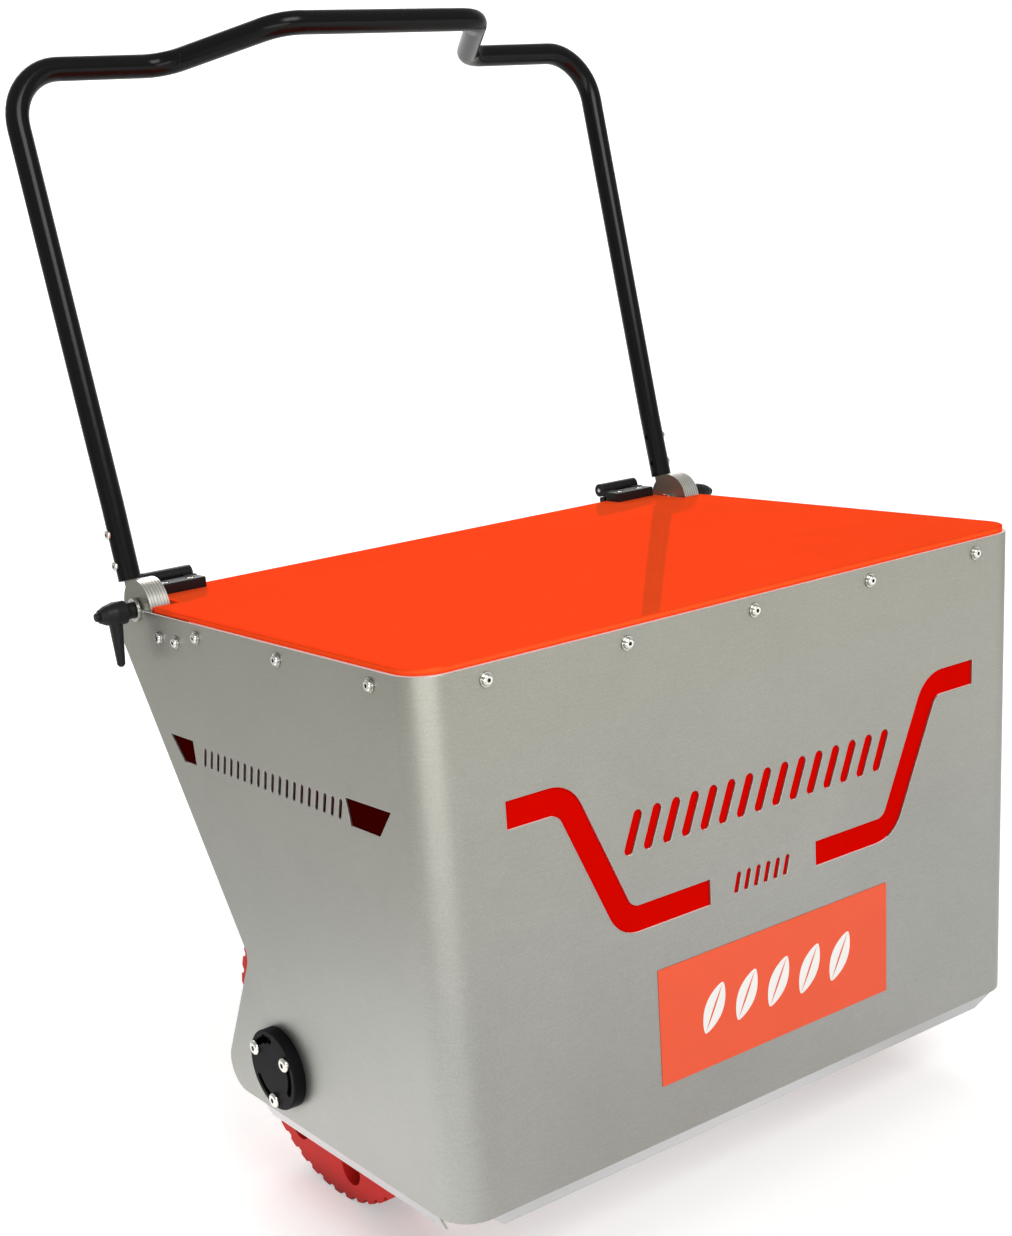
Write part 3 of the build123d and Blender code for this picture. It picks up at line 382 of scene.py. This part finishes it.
def seed_print():
    """A row of plain white seed shapes on the sign, each two leaf halves with an open husk line between."""
    low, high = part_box("sign_plate")
    middle = (low + high) / 2
    count, pitch, lean, steps = 5, 0.040, math.radians(28), 16
    half_long, half_wide, split = 0.024, 0.0115, 0.0011
    film_t = 0.0001
    face_y = low.y - film_t * 1.5
    shape = bmesh.new()

    def point(centre_x, across, along):
        x = centre_x + across * math.cos(lean) + along * math.sin(lean)
        z = middle.z + along * math.cos(lean) - across * math.sin(lean)
        return shape.verts.new((x, face_y, z))

    for seed in range(count):
        centre_x = middle.x + (seed - (count - 1) / 2) * pitch
        for side in (-1, 1):
            outer, inner = leaf_half(side, half_long, half_wide, split, steps)
            outer_row = [point(centre_x, *place) for place in outer]
            inner_row = [point(centre_x, *place) for place in inner]
            for k in range(steps):
                corners = (outer_row[k], outer_row[k + 1], inner_row[k + 1], inner_row[k])
                shape.faces.new(corners if side > 0 else corners[::-1])
    bmesh.ops.recalc_face_normals(shape, faces=shape.faces)
    mesh = bpy.data.meshes.new("sign_seeds")
    shape.to_mesh(mesh)
    shape.free()
    piece = add_object("sign_seeds", mesh)
    thick = piece.modifiers.new("film", "SOLIDIFY")
    thick.thickness = film_t
    piece.data.materials.append(seed_white)
    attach(piece, "frame")


seed_print()


# ---------------------------------------------------------------- floor, light and camera


def sweep_floor():
    """A pale floor that curves up into a backdrop far behind the object."""
    shape = bmesh.new()
    flat_steps, bend_steps = 8, 12
    pitch = (BACKDROP_BEND - BACKDROP_NEAR) / (flat_steps + 1)
    rows = [(BACKDROP_NEAR + pitch * step, 0.0) for step in range(flat_steps + 1)]
    for step in range(1, bend_steps + 1):
        angle = math.pi / 2 * step / bend_steps
        away = BACKDROP_RADIUS * math.sin(angle)
        rows.append((BACKDROP_BEND + away, BACKDROP_RADIUS * (1 - math.cos(angle))))
    rows.append((BACKDROP_BEND + BACKDROP_RADIUS, BACKDROP_TOP))
    left = [shape.verts.new((-BACKDROP_HALF_WIDTH, y, z)) for y, z in rows]
    right = [shape.verts.new((BACKDROP_HALF_WIDTH, y, z)) for y, z in rows]
    for k in range(len(rows) - 1):
        shape.faces.new((left[k], right[k], right[k + 1], left[k + 1]))
    mesh = bpy.data.meshes.new("floor")
    shape.to_mesh(mesh)
    shape.free()
    mesh.polygons.foreach_set("use_smooth", [True] * len(mesh.polygons))
    floor = add_object("floor", mesh)
    made = Shader("floor_paint")
    made.set(Base_Color=made.ramp(made.noise(2.0), (0.3, (0.86, 0.86, 0.85)), (0.7, (0.88, 0.88, 0.87))))
    rays = made.node("ShaderNodeLightPath").outputs
    # Painted light pools: patches of the floor emit light that only glossy rays see, brightening the
    # reflections in the lower metal and the flanges.
    near_left = made.pool((-0.58, -0.02, 0), 0.22, 0.62, 0.50)
    far_front = made.pool((2.9, -3.1, 0), 1.5, 2.7, 0.62)
    seen = made.maths("MULTIPLY", rays["Is Camera Ray"], FLOOR_LEVEL)
    below = made.pool((0.05, -0.08, 0), 0.18, 0.34, 0.50)
    light_pools = made.maths("ADD", made.maths("ADD", near_left, far_front), below)
    pools_in_reflections = made.maths("MULTIPLY", rays["Is Glossy Ray"], light_pools)
    made.set(Roughness=0.75, Emission_Color=(1, 1, 1), Emission_Strength=made.maths("ADD", seen, pools_in_reflections))
    floor.data.materials.append(made.material)
    floor.rotation_euler = (0, 0, BACKDROP_TURN)


def area_light(name, place, target, size, power):
    data = bpy.data.lights.new(name, "AREA")
    data.shape = "RECTANGLE"
    data.size, data.size_y = size
    data.energy = power
    light = bpy.data.objects.new(name, data)
    bpy.context.scene.collection.objects.link(light)
    light.location = place
    light.rotation_euler = (Vector(target) - Vector(place)).to_track_quat("-Z", "Y").to_euler()


def studio():
    world = bpy.data.worlds.new("studio")
    world.use_nodes = True
    tree = world.node_tree
    seen = tree.nodes.new("ShaderNodeLightPath").outputs["Is Camera Ray"]
    level = tree.nodes.new("ShaderNodeMapRange")
    level.inputs["To Min"].default_value = WORLD_LEVEL
    tree.links.new(seen, level.inputs["Value"])
    tree.links.new(level.outputs["Result"], tree.nodes["Background"].inputs["Strength"])
    tree.nodes["Background"].inputs["Color"].default_value = (1, 1, 1, 1)
    bpy.context.scene.world = world
    area_light("key", (-0.4, -3.2, 3.0), AIM, (2.4, 1.8), 80)
    area_light("side", (-2.5, -2.9, 0.60), (-0.3, -0.25, 0.25), (4.2, 0.8), 34)
    area_light("back", (1.2, 3.0, 2.6), AIM, (3.0, 1.6), 60)
    bpy.context.scene.view_settings.view_transform = "Standard"


def camera():
    data = bpy.data.cameras.new("camera")
    data.sensor_width = CAMERA_SENSOR
    data.lens = CAMERA_LENS
    data.shift_x, data.shift_y = CAMERA_SHIFT
    made = bpy.data.objects.new("camera", data)
    bpy.context.scene.collection.objects.link(made)
    made.location = CAMERA_PLACE
    made.rotation_euler = [math.radians(angle) for angle in CAMERA_TURN]
    bpy.context.scene.camera = made


sweep_floor()
studio()
camera()
